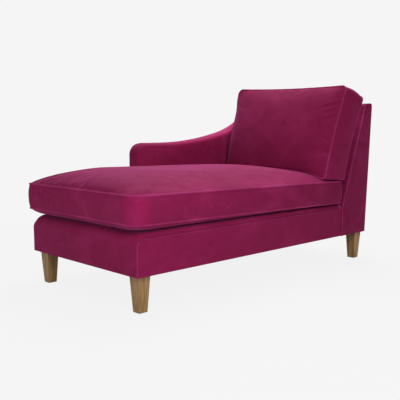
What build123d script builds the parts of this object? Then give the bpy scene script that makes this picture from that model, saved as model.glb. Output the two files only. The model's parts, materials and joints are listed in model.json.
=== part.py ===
from build123d import *
import os
from math import radians, sin

os.makedirs("parts", exist_ok=True)

# Chaise armchair, millimetres. +Z is up, the foot end faces -Y, the arm is on -X.
# The origin is on the floor under the middle of the whole chair.

# Plan
seat_width = 760.0
base_length = 1328.0
back_depth = 209.0
back_lean = 40.0
arm_width = 92.0
arm_reach = 930.0
seat_overhang = 12.0
foot_overhang = 21.0

# Heights
leg_height = 145.0
side_height = 142.0
deck_crown = 22.0
knee_height = 157.0
back_height = 684.0
arm_height = 474.0

# Coverings and clearances
cover = 6.0
arm_board = 3.0
dust_sheet = 2.0
soft_gap = 0.3
cushion_gap = 0.8
end_panel = 10.0
case_skin = 8.0
filling_gap = 1.0

# Outlines
foot_roll = 48.0
side_foot_round = 34.0
back_top_round = 16.0
crest_depth = 53.0
crest_rise = 4.0
arm_corner = 60.0
arm_flat = 105.0
arm_sweep_radius = 2000.0
arm_sweep_angle = 13.9
welt_radius = 3.0

# Timber
rail_thick = 28.0
rail_height = 108.0
rear_rail_lift = 69.0
rear_rail_height = 84.0
cross_rail_drop = 30.0
cross_rails = 3
block_size = 112.0
block_height = 58.0
back_rail_depth = 62.0
tack_start = 30.0
arm_post_depth = 45.0
arm_rail_thick = 24.0

# Suspension and padding
springs = 6
spring_waves = 16
spring_swing = 22.0
spring_wire = 2.0
wire_sides = 4
clip_length = 26.0
clip_width = 24.0
clip_height = 7.0
clip_wall = 4.0
felt = 5.7
back_foam = 20.0
webbing = 2.0
webbing_width = 50.0
back_straps = 5

# Legs and bolts
leg_top = 55.0
leg_foot = 38.0
leg_ease = 3.0
leg_inset = 22.0
rear_leg_inset = 2.0
bolt_radius = 4.0
bolt_in_leg = 45.0
bolt_above_block = 7.0
bolt_clearance = 0.2
nut_flange = 11.0
nut_thick = 2.0
nut_sides = 6
arm_bolt_head = 9.0
arm_bolt_head_thick = 5.0
arm_bolt_grip = 40.0
arm_bolts = 2

# Seat cushion
seat_seam_foot = 341.0
seat_border = 109.0
seat_fall = 0.9
seat_crown = 75.0
seat_bulge = 6.0
seat_corner = 22.0
seat_flare = 24.0
seat_draw = 7.0
seat_rear_gap = 10.0
corner_growth = 0.3
seat_lower_steps = [(0, 110), (0.33, 45), (1, 0)]
seat_crown_steps = [(0, 0), (0.32, 32), (0.62, 82), (0.87, 158), (1, 255)]
border_steps = [(0, 0), (0.22, 0.7), (0.5, 1), (0.78, 0.7), (1, 0)]
lining_stride = 2
piping_radius = 4.0
piping_sides = 6

# Back cushion
back_cushion_width = 756.0
back_cushion_height = 488.0
back_cushion_thick = 150.0
back_cushion_rake = 17.5
back_cushion_skew = 3.2
back_cushion_tilt = 1.4
back_cushion_crown = 46.0
back_cushion_rear_crown = 20.0
back_crown_steps = [(0, 0), (0.3, 16), (0.56, 44), (0.8, 84), (1, 150)]
back_rear_steps = [(0, 0), (0.6, 48), (1, 150)]
back_cushion_bulge = 6.0
back_cushion_corner = 24.0
back_cushion_draw = 8.0
back_cushion_forward = 143.0
back_cushion_lift = 142.0

# Places worked out from the sizes
total_width = arm_width + seat_width + seat_overhang
total_length = foot_overhang + base_length + back_depth + back_lean + cover
x_near = total_width / 2 - seat_overhang
x_far = x_near - seat_width
x_arm = x_far - arm_width
x_mid = (x_near + x_far) / 2
y_foot = foot_overhang - total_length / 2
y_knee = y_foot + base_length
y_rear = y_knee + back_depth
y_arm = y_rear - arm_reach
z_base = leg_height
z_frame = z_base + dust_sheet
z_side = z_base + side_height
z_deck = z_side + deck_crown
z_rail = z_frame + rail_height
z_top = z_base + back_height
z_arm = z_base + arm_height
knee = Vector(y_knee, z_base + knee_height)
heel = Vector(y_rear, z_base)
crest = Vector(y_rear + back_lean, z_top)
brow = Vector(crest.X - crest_depth, z_top - crest_rise)
slope = (brow - knee).normalized()
inward = Vector(slope.Y, -slope.X)
slope_length = (brow - knee).length
upward = (Align.CENTER, Align.CENTER, Align.MIN)


def back_point(along, deep):
    """A point of the side profile, measured up the back's front face and into it."""
    return knee + slope * along + inward * deep


def rear_point(height, deep=0.0):
    """A point of the side profile on the back's leaning rear face."""
    share = (height - heel.Y) / (crest.Y - heel.Y)
    return Vector(heel.X + share * (crest.X - heel.X) - deep, height)


def flat(points):
    """Corners of a profile as plain pairs."""
    return [(p.X, p.Y) for p in points]


def finish(builder, label):
    """Name a finished piece and write it."""
    builder.part.label = label
    export_step(builder.part, f"parts/{label}.step")


def board(label, xs, ys, zs, holes=(), hole_axis=Axis.Z):
    """A straight timber or sheet between pairs of planes, with bolt holes through it."""
    size = (xs[1] - xs[0], ys[1] - ys[0], zs[1] - zs[0])
    middle = (sum(xs) / 2, sum(ys) / 2, sum(zs) / 2)
    turn = (0, 90, 0) if hole_axis == Axis.X else (0, 0, 0)
    with BuildPart() as timber:
        with Locations(middle):
            Box(*size)
        if holes:
            with Locations(*holes):
                Cylinder(bolt_radius + bolt_clearance, sum(size), rotation=turn, mode=Mode.SUBTRACT)
    finish(timber, label)


def profile_board(label, xs, points, rounds=(), holes=()):
    """A piece with a side profile, cut square between two planes across the chair."""
    with BuildPart() as timber:
        with BuildSketch(Plane.YZ.offset(xs[0])) as side:
            with BuildLine():
                Polyline(*flat(points), close=True)
            make_face()
            for corner, radius in rounds:
                fillet(side.vertices().sort_by_distance((corner.X, corner.Y))[0], radius)
        extrude(amount=xs[1] - xs[0])
        if holes:
            with Locations(*holes):
                Cylinder(bolt_radius + bolt_clearance, total_width, rotation=(0, 90, 0), mode=Mode.SUBTRACT)
    finish(timber, label)


# Legs: square tapers, each on a hanger bolt that runs up into its corner block
leg_step = leg_inset + leg_top / 2
leg_x = {"near": x_near - leg_step, "arm": x_far + leg_step}
leg_y = {"foot": y_foot + leg_step, "rear": y_rear + cover - rear_leg_inset - leg_top / 2}
leg_places = {(end, side): (leg_x[side], leg_y[end]) for end in leg_y for side in leg_x}
bolt_foot = z_base - bolt_in_leg
bolt_length = bolt_in_leg + dust_sheet + block_height + bolt_above_block
z_block = z_frame + block_height

for (end, side), (x, y) in leg_places.items():
    with BuildPart() as leg:
        for height, width in ((0, leg_foot), (leg_height, leg_top)):
            with BuildSketch(Plane.XY.offset(height)) as end_face:
                with Locations((x, y)):
                    Rectangle(width, width)
                chamfer(end_face.vertices(), leg_ease)
        loft(ruled=True)
        with Locations((x, y, bolt_foot)):
            Cylinder(bolt_radius, bolt_in_leg, align=upward, mode=Mode.SUBTRACT)
    finish(leg, f"leg_{end}_{side}")

with BuildPart() as hanger_bolts:
    with Locations(*[(x, y, bolt_foot) for x, y in leg_places.values()]):
        Cylinder(bolt_radius, bolt_length, align=upward)
finish(hanger_bolts, "leg_hanger_bolts")

with BuildPart() as tee_nuts:
    with BuildSketch(Plane.XY.offset(z_block)):
        with Locations(*leg_places.values()):
            RegularPolygon(nut_flange, nut_sides)
    extrude(amount=nut_thick)
    with Locations(*[(x, y, z_block) for x, y in leg_places.values()]):
        Cylinder(bolt_radius, nut_thick, align=upward, mode=Mode.SUBTRACT)
finish(tee_nuts, "leg_tee_nuts")

# Corner blocks: glued triangles in the corners of the base frame
x_inside = {"near": x_near - cover - rail_thick, "arm": x_far + cover + rail_thick}
y_inside = {"foot": y_foot + cover + rail_thick, "rear": y_rear}
for (end, side), (x, y) in leg_places.items():
    across = -block_size if side == "near" else block_size
    along = block_size if end == "foot" else -block_size
    corner = (x_inside[side], y_inside[end])
    with BuildPart() as block:
        with BuildSketch(Plane.XY.offset(z_frame)):
            with BuildLine():
                Polyline(corner, (corner[0] + across, corner[1]), (corner[0], corner[1] + along), close=True)
            make_face()
        extrude(amount=block_height)
        with Locations((x, y, z_frame)):
            Cylinder(bolt_radius + bolt_clearance, 2 * block_height, mode=Mode.SUBTRACT)
    finish(block, f"corner_block_{end}_{side}")

# Base frame; the arm's bolts pass above the cross rails
near_rail = (x_near - cover - rail_thick, x_near - cover)
far_rail = (x_far + cover, x_far + cover + rail_thick)
rail_run = (y_foot + cover + rail_thick, y_knee)
between_rails = (far_rail[1], near_rail[0])
arm_bolt_ys = [y_arm + (y_knee - y_arm) * (i + 0.5) / arm_bolts for i in range(arm_bolts)]
z_arm_bolt = z_rail - cross_rail_drop / 2
arm_bolt_spots = [(x_far, y, z_arm_bolt) for y in arm_bolt_ys]

board("base_side_rail_near", near_rail, rail_run, (z_frame, z_rail))
board("base_side_rail_arm", far_rail, rail_run, (z_frame, z_rail), arm_bolt_spots, Axis.X)
foot_rail_y = (y_foot + cover, y_foot + cover + rail_thick)
board("base_foot_rail", (far_rail[0], near_rail[1]), foot_rail_y, (z_frame, z_rail))
rear_rail_z = (z_frame + rear_rail_lift, z_frame + rear_rail_lift + rear_rail_height)
rear_rail_y = (y_rear - rail_thick, y_rear)
board("base_rear_rail", between_rails, rear_rail_y, rear_rail_z)
for i in range(cross_rails):
    y = rail_run[0] + (rail_run[1] - rail_run[0]) * (i + 1) / (cross_rails + 1)
    board(f"base_cross_rail_{i + 1}", between_rails, (y, y + rail_thick), (z_frame, z_rail - cross_rail_drop))

board("base_dust_cover", (far_rail[0], near_rail[1]), (y_foot + cover, y_rear), (z_base, z_frame),
      [(x, y, z_base) for x, y in leg_places.values()])

# Serpentine springs across the base, held on the side rails by clips
spring_ends = (far_rail[0] + clip_length / 2, near_rail[1] - clip_length / 2)
spring_pitch = (spring_ends[1] - spring_ends[0]) / spring_waves
z_wire = z_rail + clip_height / 2
spring_path = []
for i in range(spring_waves + 1):
    swing = spring_swing if i % 2 else -spring_swing
    wire_x = spring_ends[0] + i * spring_pitch
    spring_path += [(wire_x, -swing, z_wire), (wire_x, swing, z_wire)]
spring_ys = [rail_run[0] + (rail_run[1] - rail_run[0]) * (i + 0.5) / springs for i in range(springs)]

with BuildPart() as spring:
    with BuildLine():
        Polyline(*spring_path)
    with BuildSketch(Plane(spring_path[0], z_dir=(0, 1, 0))):
        RegularPolygon(spring_wire, wire_sides)
    sweep(transition=Transition.RIGHT)
with BuildPart() as seat_springs:
    with Locations(*[(0, y, 0) for y in spring_ys]):
        add(spring.part)
finish(seat_springs, "seat_springs")

with BuildPart() as spring_clips:
    for x, mouth in zip(spring_ends, (clip_wall, -clip_wall)):
        with Locations(*[(x, y, z_wire) for y in spring_ys]):
            Box(clip_length, clip_width, clip_height)
        with Locations(*[(x + mouth, y, z_wire) for y in spring_ys]):
            Box(clip_length, clip_width, 2 * (spring_wire + bolt_clearance), mode=Mode.SUBTRACT)
finish(spring_clips, "spring_clips")

z_felt = z_rail + clip_height + soft_gap
felt_x = (far_rail[0] + cover, near_rail[1] - cover)
board("seat_felt", felt_x, (y_foot + 2 * cover, y_knee), (z_felt, z_felt + felt))


def deck_form(shrink):
    """The seat box as one block, rolled over at the foot end and eased along both sides."""
    foot, top, half = y_foot + shrink, z_deck - shrink, seat_width / 2 - cover - shrink
    with BuildPart() as block:
        with BuildSketch(Plane.YZ.offset(x_mid)) as side:
            with BuildLine():
                Polyline((foot, z_base), (foot, top), (y_knee, top), (y_knee, z_base), close=True)
            make_face()
            fillet(side.vertices().sort_by(Axis.Y)[-2:].sort_by(Axis.X)[0], foot_roll - shrink)
        extrude(amount=half, both=True)
        with BuildSketch(Plane.XZ.offset(-y_knee)) as end:
            with Locations((x_mid, top)):
                Rectangle(2 * half, z_deck, align=(Align.CENTER, Align.MAX))
            fillet(end.vertices().sort_by(Axis.Y)[-2:], deck_crown - shrink)
        extrude(amount=base_length, mode=Mode.INTERSECT)
    return block.part


with BuildPart() as deck_cover:
    add(deck_form(0))
    add(deck_form(cover), mode=Mode.SUBTRACT)
    for start, height in ((cover, z_deck - foot_roll), (foot_roll, z_side)):
        with Locations((x_mid, y_foot + start, height)):
            Box(seat_width, base_length, side_height,
                align=(Align.CENTER, Align.MIN, Align.MAX), mode=Mode.SUBTRACT)
finish(deck_cover, "foot_and_deck_cover")

with BuildPart() as deck_foam:
    add(deck_form(cover + soft_gap))
    split(bisect_by=Plane.XY.offset(z_felt + felt), keep=Keep.TOP)
finish(deck_foam, "deck_foam")

side_outline = [
    Vector(y_foot, z_base), Vector(y_foot, z_side), Vector(y_knee, z_side), Vector(y_knee, z_base)]
side_rounds = [(side_outline[1], side_foot_round)]
profile_board("base_side_panel_near", (x_near - cover, x_near), side_outline, side_rounds)
profile_board("base_side_panel_arm", (x_far, x_far + cover), side_outline, side_rounds, arm_bolt_spots)

# Back unit: raked posts and rails, webbing and foam, then the covers
pad_depth = cover + soft_gap + back_foam
rail_depth = pad_depth + webbing
post_outline = [
    Vector(y_knee, z_frame), Vector(y_knee, z_rail), back_point(0, rail_depth),
    back_point(slope_length - cover, rail_depth), rear_point(z_top - cover - crest_rise), rear_point(z_frame)]
profile_board("back_post_near", near_rail, post_outline)
profile_board("back_post_arm", far_rail, post_outline)
for name, start in {"tack": tack_start, "top": slope_length - cover - back_rail_depth}.items():
    stop, rail_back = start + back_rail_depth, rail_depth + rail_thick
    rail_outline = [
        back_point(start, rail_depth), back_point(stop, rail_depth),
        back_point(stop, rail_back), back_point(start, rail_back)]
    profile_board(f"back_{name}_rail", between_rails, rail_outline)

strap_step = (between_rails[1] - between_rails[0]) / back_straps
strap_outline = [
    back_point(tack_start, pad_depth), back_point(slope_length - cover, pad_depth),
    back_point(slope_length - cover, rail_depth), back_point(tack_start, rail_depth)]
with BuildPart() as back_webbing:
    for i in range(back_straps):
        strap_x = between_rails[0] + (i + 0.5) * strap_step - webbing_width / 2
        with BuildSketch(Plane.YZ.offset(strap_x)):
            with BuildLine():
                Polyline(*flat(strap_outline), close=True)
            make_face()
        extrude(amount=webbing_width)
finish(back_webbing, "back_webbing")

foam_outline = [
    back_point(tack_start, cover + soft_gap), back_point(slope_length - 2 * cover, cover + soft_gap),
    back_point(slope_length - 2 * cover, pad_depth), back_point(tack_start, pad_depth)]
profile_board("back_foam", (x_far + soft_gap, x_near - cover - soft_gap), foam_outline)

brow_inside = back_point(slope_length - cover, cover)
crest_inside = rear_point(z_top - cover)
inside_back = [knee, brow, crest, crest_inside, brow_inside, back_point(0, cover)]
profile_board("inside_back_cover", (x_far, x_near - cover), inside_back)

end_outline = [Vector(y_knee, z_base), knee, brow, crest, heel]
panel_face = (x_near - cover, x_near - cover + end_panel)
profile_board("back_end_panel", panel_face, end_outline, [(crest, back_top_round)])

outside_back = [heel, crest, crest + Vector(cover, 0), heel + Vector(cover, 0)]
profile_board("outside_back_cover", (x_arm, panel_face[1]), outside_back)

welt_reach = welt_radius + soft_gap
welt_x = x_near + welt_reach
welt_path = [
    (welt_x, y_knee - welt_reach, z_base), (welt_x, y_knee - welt_reach, knee.Y),
    (welt_x, *flat([back_point(slope_length, -welt_reach)])[0])]
with BuildPart() as end_welt:
    with BuildLine():
        FilletPolyline(*welt_path, radius=back_top_round)
    with BuildSketch(Plane(welt_path[0], z_dir=(0, 0, 1))):
        RegularPolygon(welt_radius, piping_sides)
    sweep()
finish(end_welt, "back_end_welt")


# Arm unit: front edge, rounded corner, level run and a sweep up into the top of the back
def arm_form(xs, shrink):
    """A slab of the arm's side profile between two planes, drawn in all round by shrink."""
    with BuildPart() as slab:
        with BuildSketch(Plane.YZ.offset(xs[0])):
            with BuildLine():
                front = Line((y_arm, z_base), (y_arm, z_arm - arm_corner))
                nose = JernArc(front @ 1, (0, 1), arm_corner, -90)
                level = Line(nose @ 1, nose @ 1 + Vector(arm_flat, 0))
                rise = JernArc(level @ 1, (1, 0), arm_sweep_radius, arm_sweep_angle)
                TangentArc(rise @ 1, (brow.X, brow.Y), tangent=rise % 1)
                Polyline((brow.X, brow.Y), (crest.X, crest.Y), (heel.X, heel.Y), (y_arm, z_base))
            make_face()
            if shrink:
                offset(amount=-shrink, kind=Kind.INTERSECTION, mode=Mode.REPLACE)
        extrude(amount=xs[1] - xs[0])
    return slab.part


def arm_sheet(label, xs, shrink, holes=()):
    """A flat sheet of the arm's profile with its bolt holes."""
    with BuildPart() as sheet:
        add(arm_form(xs, shrink))
        if holes:
            with Locations(*holes):
                Cylinder(bolt_radius + bolt_clearance, total_width, rotation=(0, 90, 0), mode=Mode.SUBTRACT)
    finish(sheet, label)


arm_inside = (x_far - cover, x_far)
arm_outside = (x_arm, x_arm + cover)
inside_board = (x_far - cover - arm_board, x_far - cover)
outside_board = (x_arm + cover, x_arm + cover + arm_board)
arm_core = (outside_board[1], inside_board[0])
arm_sheet("arm_inside_panel", arm_inside, 0, arm_bolt_spots)
arm_sheet("arm_outside_panel", arm_outside, 0)
arm_sheet("arm_inside_board", inside_board, cover, arm_bolt_spots)
arm_sheet("arm_outside_board", outside_board, cover)

# The border runs up the arm's front and along its top, and stops at the back's rear face
border_x = (arm_outside[1], arm_inside[0])
y_front = y_arm + cover
z_sole = z_base + cover
below_border = [
    Vector(y_front, z_base), heel, rear_point(z_top - cover), rear_point(z_top - cover, 2 * cover),
    rear_point(z_sole, 2 * cover), Vector(y_front, z_sole)]
with BuildPart() as arm_border:
    add(arm_form(border_x, 0))
    add(arm_form(border_x, cover), mode=Mode.SUBTRACT)
    with BuildSketch(Plane.YZ.offset(border_x[0])):
        with BuildLine():
            Polyline(*flat(below_border), close=True)
        make_face()
    extrude(amount=border_x[1] - border_x[0], mode=Mode.SUBTRACT)
finish(arm_border, "arm_border")

# Arm frame: posts front and rear, a foot rail that takes the bolts, and a bent top rail
z_nose = z_arm - arm_corner
y_arm_rear = rear_point(z_frame, arm_post_depth).X
board("arm_front_post", arm_core, (y_front, y_front + arm_post_depth), (z_frame, z_nose))
arm_foot_run = (y_front + arm_post_depth, y_arm_rear)
board("arm_foot_rail", arm_core, arm_foot_run, (z_frame, z_rail), arm_bolt_spots, Axis.X)
rear_post = [
    rear_point(z_frame, arm_post_depth), rear_point(z_top - 2 * cover, arm_post_depth),
    rear_point(z_top - 2 * cover), rear_point(z_frame)]
profile_board("arm_rear_post", arm_core, rear_post)
with BuildPart() as arm_top_rail:
    add(arm_form(arm_core, cover))
    add(arm_form(arm_core, cover + arm_rail_thick), mode=Mode.SUBTRACT)
    with Locations((arm_core[0], y_arm, z_nose)):
        Box(arm_width, y_arm_rear - y_arm, z_top, align=(Align.MIN,) * 3, mode=Mode.INTERSECT)
finish(arm_top_rail, "arm_top_rail")
board("arm_dust_cover", border_x, (y_front, y_rear), (z_base, z_frame))

bolt_reach = rail_thick + 2 * cover + arm_board + arm_bolt_grip
with BuildPart() as arm_bolt_set:
    with Locations(*[(far_rail[1], y, z_arm_bolt) for y in arm_bolt_ys]):
        Cylinder(bolt_radius, bolt_reach, rotation=(0, -90, 0), align=upward)
        Cylinder(arm_bolt_head, arm_bolt_head_thick, rotation=(0, 90, 0), align=upward)
finish(arm_bolt_set, "arm_bolts")

# Seat cushion: a bordered case between two piped seams, crowned above and below
seat_length = base_length + foot_overhang - seat_bulge - seat_rear_gap
y_seat = y_knee - seat_rear_gap - seat_length / 2
z_seam = seat_seam_foot - seat_length / 2 * sin(radians(seat_fall))
z_contact = z_deck + soft_gap


def seat_plane(height, fall=seat_fall):
    """A plane across the seat cushion, falling a little towards the back."""
    return Plane((0, y_seat, height)).rotated((-fall, 0, 0))


def drawn_side(start, stop, draw):
    """One side of a cushion's outline, bowed to the left of its run."""
    run = Vector(*stop) - Vector(*start)
    waist = Vector(*start) + run / 2 + Vector(-run.Y, run.X).normalized() * draw
    ThreePointArc(start, (waist.X, waist.Y), stop)


def seat_outline(plane, inset):
    """The seat cushion's plan: drawn in mid-side, held straight along the arm, flared at the foot."""
    held = max(inset, -piping_radius)
    near = x_near + seat_overhang - seat_bulge - inset
    far = x_far + cushion_gap + piping_radius + held
    foot = inset - seat_length / 2
    rear = seat_length / 2 - held
    arm_end = y_arm - y_seat - arm_width
    with BuildSketch(plane) as outline:
        with BuildLine():
            drawn_side((far - seat_flare, foot), (near, foot), seat_draw)
            drawn_side((near, foot), (near, rear), seat_draw)
            Polyline((near, rear), (far, rear), (far, arm_end))
            TangentArc((far, arm_end), (far - seat_flare, foot), tangent=(0, -1))
        make_face()
        corners = [v for v in outline.vertices() if abs(v.Y - arm_end) > arm_width / 2]
        fillet(corners, seat_corner + max(inset, 0) * corner_growth)
    return outline.sketch


def seat_form(shrink, stride=1):
    """The seat cushion's whole body, lofted through every stride-th section of its crowns and border."""
    low, high, crown = z_contact + shrink, z_seam + seat_border, seat_crown - shrink
    lower = [
        (seat_plane(low + share * (z_seam - low), share * seat_fall), inset)
        for share, inset in seat_lower_steps]
    border = [
        (seat_plane(z_seam + share * seat_border), -swell * seat_bulge) for share, swell in border_steps]
    upper = [(seat_plane(high + share * crown), inset) for share, inset in seat_crown_steps]
    with BuildPart() as body:
        for sections in (lower, border, upper):
            loft([seat_outline(plane, inset + shrink) for plane, inset in sections[::stride]], ruled=True)
    return body.part


def piping(outline, radius):
    """A piping tube round a cushion's seam."""
    path = outline.face().outer_wire()
    with BuildPart() as tube:
        with BuildSketch(Plane(path @ 0, z_dir=path % 0)):
            RegularPolygon(radius, piping_sides)
        sweep(path=path)
    return tube.part


seat_seams = {"bottom": z_seam, "top": z_seam + seat_border}
with BuildPart() as seat_case:
    add(seat_form(0))
    add(seat_form(case_skin, lining_stride), mode=Mode.SUBTRACT)
    for height in seat_seams.values():
        add(piping(seat_outline(seat_plane(height), 0), piping_radius + soft_gap), mode=Mode.SUBTRACT)
finish(seat_case, "seat_cushion_case")

with BuildPart() as seat_filling:
    add(seat_form(case_skin + filling_gap, lining_stride))
finish(seat_filling, "seat_cushion_filling")

for name, height in seat_seams.items():
    with BuildPart() as cord:
        add(piping(seat_outline(seat_plane(height), 0), piping_radius))
    finish(cord, f"seat_{name}_piping")

# Back cushion: the same build, leaning on the back, its underside shaped by the seat's crown
width_way = Vector(1, 0, 0).rotate(Axis.Z, -back_cushion_skew).rotate(Axis.Y, back_cushion_tilt)
facing = Vector(0, -1, 0).rotate(Axis.X, -back_cushion_rake).rotate(Axis.Z, -back_cushion_skew)
x_back = x_far + cushion_gap + back_cushion_bulge + back_cushion_width / 2
back_origin = (x_back, y_knee - back_cushion_forward, z_deck + back_cushion_lift)
back_plane = Plane(back_origin, x_dir=width_way, z_dir=facing)


def back_outline(step, inset):
    """The back cushion's front view at one depth, drawn in a little between its corners."""
    half = back_cushion_width / 2 - inset
    high = back_cushion_height - inset
    with BuildSketch(back_plane.offset(step)) as outline:
        with BuildLine():
            Line((-half, inset), (half, inset))
            drawn_side((half, inset), (half, high), back_cushion_draw)
            drawn_side((half, high), (-half, high), back_cushion_draw)
            drawn_side((-half, high), (-half, inset), back_cushion_draw)
        make_face()
        fillet(outline.vertices(), back_cushion_corner + max(inset, 0) * corner_growth)
    return outline.sketch


def back_form(shrink, stride=1):
    """The back cushion's whole body, lofted through every stride-th section of its crowns and border."""
    thick = back_cushion_thick
    rear = [(-thick - share * (back_cushion_rear_crown - shrink), inset) for share, inset in back_rear_steps]
    border = [((share - 1) * thick, -swell * back_cushion_bulge) for share, swell in border_steps]
    front = [(share * (back_cushion_crown - shrink), inset) for share, inset in back_crown_steps]
    with BuildPart() as body:
        for sections in (rear, border, front):
            loft([back_outline(step, inset + shrink) for step, inset in sections[::stride]], ruled=True)
    return body.part


def back_body(shrink, stride=1):
    """The back cushion's body where it settles on the seat's crown."""
    with BuildPart() as body:
        add(back_form(shrink, stride))
        add(seat_body.moved(Location((0, 0, cushion_gap + shrink))), mode=Mode.SUBTRACT)
        add(piping(seat_top_seam, piping_radius + cushion_gap + shrink), mode=Mode.SUBTRACT)
    return body.part


seat_body = seat_form(0)
seat_top_seam = seat_outline(seat_plane(seat_seams["top"]), 0)
back_seams = {"rear": -back_cushion_thick, "front": 0.0}
with BuildPart() as back_case:
    add(back_body(0))
    add(back_body(case_skin, lining_stride), mode=Mode.SUBTRACT)
    for step in back_seams.values():
        add(piping(back_outline(step, 0), piping_radius + soft_gap), mode=Mode.SUBTRACT)
finish(back_case, "back_cushion_case")

with BuildPart() as back_filling:
    add(back_body(case_skin + filling_gap, lining_stride))
finish(back_filling, "back_cushion_filling")

for name, step in back_seams.items():
    with BuildPart() as cord:
        add(piping(back_outline(step, 0), piping_radius))
        add(seat_body.moved(Location((0, 0, cushion_gap))), mode=Mode.SUBTRACT)
    finish(cord, f"back_cushion_{name}_piping")
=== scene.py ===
import json
from math import atan2, cos, exp, pi, radians, sin, tan

import bmesh
import bpy
import numpy as np
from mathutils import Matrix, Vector
from mathutils.bvhtree import BVHTree
from mathutils.kdtree import KDTree
from numpy.linalg import norm


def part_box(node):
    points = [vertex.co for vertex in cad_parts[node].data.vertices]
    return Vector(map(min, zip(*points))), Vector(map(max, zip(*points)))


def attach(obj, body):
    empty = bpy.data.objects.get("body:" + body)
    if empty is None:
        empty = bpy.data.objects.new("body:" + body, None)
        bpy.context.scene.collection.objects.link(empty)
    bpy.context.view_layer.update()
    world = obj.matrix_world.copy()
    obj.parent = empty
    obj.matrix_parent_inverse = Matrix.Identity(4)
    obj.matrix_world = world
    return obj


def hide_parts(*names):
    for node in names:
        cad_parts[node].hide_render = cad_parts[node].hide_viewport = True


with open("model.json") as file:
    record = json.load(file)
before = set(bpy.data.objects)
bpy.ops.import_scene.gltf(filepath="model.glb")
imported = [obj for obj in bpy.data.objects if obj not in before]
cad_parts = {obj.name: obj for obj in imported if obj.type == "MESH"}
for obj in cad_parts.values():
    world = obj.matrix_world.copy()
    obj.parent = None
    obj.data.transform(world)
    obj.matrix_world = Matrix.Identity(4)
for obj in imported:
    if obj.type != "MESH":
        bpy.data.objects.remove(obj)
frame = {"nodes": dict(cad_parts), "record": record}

scene = bpy.context.scene
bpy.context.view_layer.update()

# The chair's own sizes, in metres, as the CAD gives them
X_NEAR, X_FAR, X_ARM = 0.420, -0.340, -0.432
Y_FOOT, Y_ARM, Y_KNEE, Y_REAR = -0.781, -0.174, 0.547, 0.756
Z_BASE, Z_SIDE, Z_DECK, Z_ARM, Z_TOP = 0.145, 0.287, 0.309, 0.619, 0.829
COVER = 0.006
KNEE = np.array((Y_KNEE, 0.302))
BROW = np.array((0.743, 0.825))
CREST = np.array((0.796, Z_TOP))
HEEL = np.array((Y_REAR, Z_BASE))
END_FACE = X_NEAR + 0.004

# Finishes, as linear colours; the velvet's sheen where no light or shade is painted, and how much painted
# light and shade raise or lower it
BASE_SHEEN, PAINTED_SHEEN_LIFT = 0.38, 0.58
MAGENTA = (0.232, 0.0080, 0.062, 1)
MAGENTA_LIGHT = (0.300, 0.015, 0.090, 1)
MAGENTA_DEEP = (0.170, 0.0052, 0.040, 1)
OAK_LIGHT = (0.47, 0.285, 0.125, 1)
OAK_DARK = (0.26, 0.140, 0.052, 1)
PINE_LIGHT = (0.62, 0.43, 0.24, 1)
PINE_DARK = (0.45, 0.27, 0.12, 1)
# The piping's colours: the velvet painted lighter, a painted highlight along every cord
CORD_PAINTED_HIGHLIGHT = (0.325, 0.020, 0.112, 1)
CORD_PAINTED_HIGHLIGHT_BRUSHED = (0.44, 0.047, 0.180, 1)
BOARD_LIGHT, BOARD_DARK = (0.26, 0.15, 0.07, 1), (0.18, 0.10, 0.045, 1)
ZINC_LIGHT, ZINC_DARK = (0.62, 0.62, 0.62, 1), (0.45, 0.45, 0.46, 1)
WARP, WEFT = (0.030, 0.030, 0.032, 1), (0.016, 0.016, 0.018, 1)


# Shader groups

def node_group(name, outputs, **inputs):
    """An empty shader group, with the sockets to take from and to feed."""
    group = bpy.data.node_groups.new(name, "ShaderNodeTree")
    for socket, value in inputs.items():
        kind = "Float" if isinstance(value, float) else "Color" if len(value) == 4 else "Vector"
        made = group.interface.new_socket(socket, in_out="INPUT", socket_type="NodeSocket" + kind)
        made.default_value = value
    for socket in outputs:
        kind = "NodeSocketColor" if socket == "Color" else "NodeSocketFloat"
        group.interface.new_socket(socket, in_out="OUTPUT", socket_type=kind)
    return group, group.nodes.new("NodeGroupInput").outputs, group.nodes.new("NodeGroupOutput").inputs


def add_node(tree, kind, feeds=None, **values):
    """A node whose values go to the property or socket of their name, with spaces as underscores.
    Feeds give sockets, by name or number, an output or a constant."""
    node = tree.nodes.new(kind)
    for key, value in values.items():
        if hasattr(node, key):
            setattr(node, key, value)
        else:
            node.inputs[key.replace("_", " ")].default_value = value
    for socket, source in (feeds or {}).items():
        if isinstance(source, bpy.types.NodeSocket):
            tree.links.new(source, node.inputs[socket])
        else:
            node.inputs[socket].default_value = source
    return node


def object_place(tree):
    return add_node(tree, "ShaderNodeTexCoord").outputs["Object"]


def scaled_place(tree, scale):
    """Object coordinates stretched by a scale for each axis."""
    feeds = {0: object_place(tree), 1: scale}
    return add_node(tree, "ShaderNodeVectorMath", feeds, operation="MULTIPLY").outputs[0]


def noise(tree, place, scale=1.0, **values):
    return add_node(tree, "ShaderNodeTexNoise", {"Vector": place}, Scale=scale, **values).outputs["Fac"]


def map_range(tree, value, low, high, start=0.0, stop=1.0, **settings):
    limits = {"From_Min": low, "From_Max": high, "To_Min": start, "To_Max": stop}
    return add_node(tree, "ShaderNodeMapRange", {"Value": value}, **limits, **settings).outputs["Result"]


def ramp(tree, value, low, high):
    return map_range(tree, value, low, high, interpolation_type="SMOOTHSTEP")


def calculate(tree, operation, *values, **settings):
    node = add_node(tree, "ShaderNodeMath", dict(enumerate(values)), operation=operation, **settings)
    return node.outputs[0]


def scale_vector(tree, vector, scale):
    return add_node(tree, "ShaderNodeVectorMath", {0: vector, "Scale": scale}, operation="SCALE").outputs[0]


def mix_colour(tree, factor, first, second):
    return add_node(tree, "ShaderNodeMix", {0: factor, 6: first, 7: second}, data_type="RGBA").outputs[2]


def give(group, out, **values):
    for socket, value in values.items():
        group.links.new(value, out[socket])
    return group


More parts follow.
